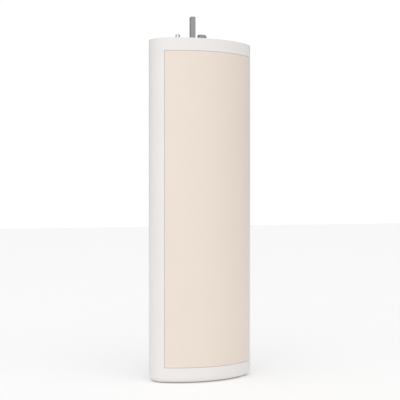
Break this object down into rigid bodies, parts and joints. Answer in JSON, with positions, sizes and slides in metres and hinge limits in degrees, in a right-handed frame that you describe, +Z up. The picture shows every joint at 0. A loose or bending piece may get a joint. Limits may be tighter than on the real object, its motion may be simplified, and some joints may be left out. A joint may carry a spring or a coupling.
{
  "type": "curtain track motor",
  "caption": "Mains curtain track motor: a tall curved housing with a square drive shaft, peg and sprung locking hook on top, and an inlet, socket and button below.",
  "frame": {"origin": "middle of the bottom face, under the middle of the body's outline", "axes": "+Z up towards the curtain track, the beige front panel faces -Y, +X to the right seen from the front"},
  "size_m": [0.0854, 0.055, 0.2825],
  "materials": {
    "white_plastic": "satin",
    "beige_plastic": "satin",
    "black_plastic": "matte",
    "zinc": "satin",
    "steel": "satin",
    "screw_steel": "satin",
    "sintered_steel": "matte",
    "ferrite": "matte",
    "bronze": "satin",
    "carbon": "matte",
    "rubber": "matte",
    "copper": "gloss",
    "circuit_board": "satin",
    "chip_black": "matte",
    "shield_tin": "satin",
    "transformer_tape": "satin",
    "capacitor_sleeve": "gloss",
    "connector_nylon": "matte",
    "lead_vinyl": "satin",
    "ribbon_vinyl": "satin",
    "nickel": "polished",
    "gold": "polished",
    "clear_plastic": "gloss",
    "button_plastic": "matte"
  },
  "bodies": {
    "housing": {"rear_housing": "white_plastic", "front_cover": "beige_plastic", "top_cap": "white_plastic", "bottom_cap": "white_plastic", "chassis": "black_plastic", "mounting_plate": "steel", "locating_peg": "steel", "lever_pivot_screw": "screw_steel", "plate_screws": "screw_steel", "gearbox_cover": "zinc", "shaft_bearing": "steel", "gearbox_ring": "sintered_steel", "motor_flange": "steel", "gearbox_screws": "screw_steel", "motor_can": "steel", "motor_magnets": "ferrite", "motor_bushes": "bronze", "motor_end_bell": "black_plastic", "motor_brushes": "carbon", "encoder_board": "circuit_board", "motor_isolators": "rubber", "main_board": "circuit_board", "board_chips": "chip_black", "radio_module": "shield_tin", "power_board": "circuit_board", "transformer": "transformer_tape", "capacitors": "capacitor_sleeve", "board_connectors": "connector_nylon", "power_leads": "lead_vinyl", "signal_leads": "ribbon_vinyl", "mains_inlet": "black_plastic", "inlet_pins": "nickel", "socket_board": "circuit_board", "control_socket": "black_plastic", "socket_contacts": "gold", "tact_switch": "black_plastic", "light_pipe": "clear_plastic", "housing_screws": "screw_steel", "board_screws": "screw_steel"},
    "output": {"drive_shaft": "steel", "output_carrier": "sintered_steel", "bearing_inner_ring": "steel", "retaining_ring": "screw_steel"},
    "first_carrier": {"first_carrier": "sintered_steel"},
    "rotor": {"rotor_shaft": "steel", "motor_pinion": "sintered_steel", "rotor_core": "sintered_steel", "rotor_windings": "copper", "commutator": "copper", "encoder_magnet": "ferrite"},
    "lever": {"locking_lever": "zinc", "lever_spring": "screw_steel"},
    "button": {"program_button": "button_plastic"},
    "output_planet_1": {"output_planet_1": "sintered_steel"},
    "input_planet_1": {"input_planet_1": "sintered_steel"},
    "output_planet_2": {"output_planet_2": "sintered_steel"},
    "input_planet_2": {"input_planet_2": "sintered_steel"},
    "output_planet_3": {"output_planet_3": "sintered_steel"},
    "input_planet_3": {"input_planet_3": "sintered_steel"}
  },
  "joints": [
    {"name": "rotor_spin", "type": "hinge", "parent": "housing", "child": "rotor", "pos_m": [0, 0.00934, 0.19665], "axis": [0, 0, 1], "continuous": true},
    {"name": "first_carrier_spin", "type": "hinge", "parent": "housing", "child": "first_carrier", "pos_m": [0, 0.00934, 0.23445], "axis": [0, 0, 1], "continuous": true},
    {"name": "output_spin", "type": "hinge", "parent": "housing", "child": "output", "pos_m": [0, 0.00934, 0.2605], "axis": [0, 0, 1], "continuous": true},
    {"name": "lever_turn", "type": "hinge", "parent": "housing", "child": "lever", "pos_m": [0.0085, 0.01919, 0.2628], "axis": [0, 0, 1], "range_deg": [-9, 0], "stiffness_Nm_per_rad": 0.02, "springref_deg": 34.38, "deforming": ["lever_spring"]},
    {"name": "button_press", "type": "slide", "parent": "housing", "child": "button", "axis": [0, 0, 1], "range_m": [0, 0.0006], "stiffness_N_per_m": 900, "springref_m": -0.0006},
    {"name": "input_planet_1_spin", "type": "hinge", "parent": "first_carrier", "child": "input_planet_1", "pos_m": [0.0075, 0.00934, 0.22965], "axis": [0, 0, 1], "continuous": true},
    {"name": "input_planet_2_spin", "type": "hinge", "parent": "first_carrier", "child": "input_planet_2", "pos_m": [-0.00375, 0.01584, 0.22965], "axis": [0, 0, 1], "continuous": true},
    {"name": "input_planet_3_spin", "type": "hinge", "parent": "first_carrier", "child": "input_planet_3", "pos_m": [-0.00375, 0.00284, 0.22965], "axis": [0, 0, 1], "continuous": true},
    {"name": "output_planet_1_spin", "type": "hinge", "parent": "output", "child": "output_planet_1", "pos_m": [0.0075, 0.00934, 0.24075], "axis": [0, 0, 1], "continuous": true},
    {"name": "output_planet_2_spin", "type": "hinge", "parent": "output", "child": "output_planet_2", "pos_m": [-0.00375, 0.01584, 0.24075], "axis": [0, 0, 1], "continuous": true},
    {"name": "output_planet_3_spin", "type": "hinge", "parent": "output", "child": "output_planet_3", "pos_m": [-0.00375, 0.00284, 0.24075], "axis": [0, 0, 1], "continuous": true}
  ],
  "couplings": [
    {"joint": "first_carrier_spin", "follows": "rotor_spin", "ratio": 0.2},
    {"joint": "output_spin", "follows": "rotor_spin", "ratio": 0.04},
    {"joint": "input_planet_1_spin", "follows": "rotor_spin", "ratio": -0.53333},
    {"joint": "input_planet_2_spin", "follows": "rotor_spin", "ratio": -0.53333},
    {"joint": "input_planet_3_spin", "follows": "rotor_spin", "ratio": -0.53333},
    {"joint": "output_planet_1_spin", "follows": "rotor_spin", "ratio": -0.10667},
    {"joint": "output_planet_2_spin", "follows": "rotor_spin", "ratio": -0.10667},
    {"joint": "output_planet_3_spin", "follows": "rotor_spin", "ratio": -0.10667}
  ]
}
